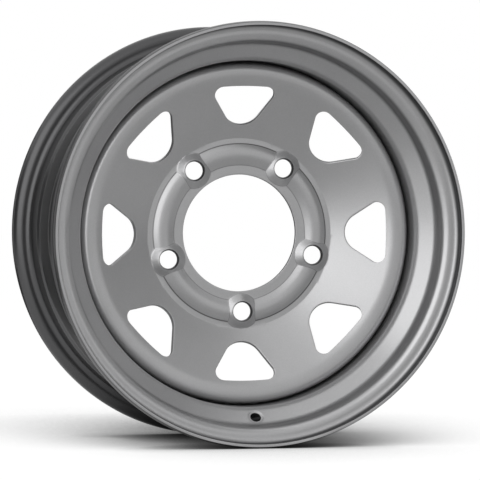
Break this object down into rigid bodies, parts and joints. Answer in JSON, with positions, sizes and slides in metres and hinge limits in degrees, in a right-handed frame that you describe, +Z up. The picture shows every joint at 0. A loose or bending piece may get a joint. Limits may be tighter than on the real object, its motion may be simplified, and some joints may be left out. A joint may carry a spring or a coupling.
{
  "type": "steel wheel rim",
  "caption": "Pressed steel disc wheel: rolled drop-centre rim with curled flanges, dished disc with rounded triangular windows, bolt circle and centre bore, welded into the well.",
  "frame": {"origin": "on the spin axis, midway between the two flanges", "axes": "spin axis along Y, outer face towards -Y, hub side towards +Y, +Z up, +X to the right of someone who looks at the outer face"},
  "size_m": [0.4405, 0.2116, 0.4406],
  "materials": {
    "silver_paint": "satin metallic silver enamel on pressed steel sheet",
    "painted_weld": "the same enamel over a rippled weld bead"
  },
  "bodies": {
    "root": {"rim_barrel": "silver_paint", "wheel_disc": "silver_paint", "weld_beads": "painted_weld"}
  },
  "joints": []
}
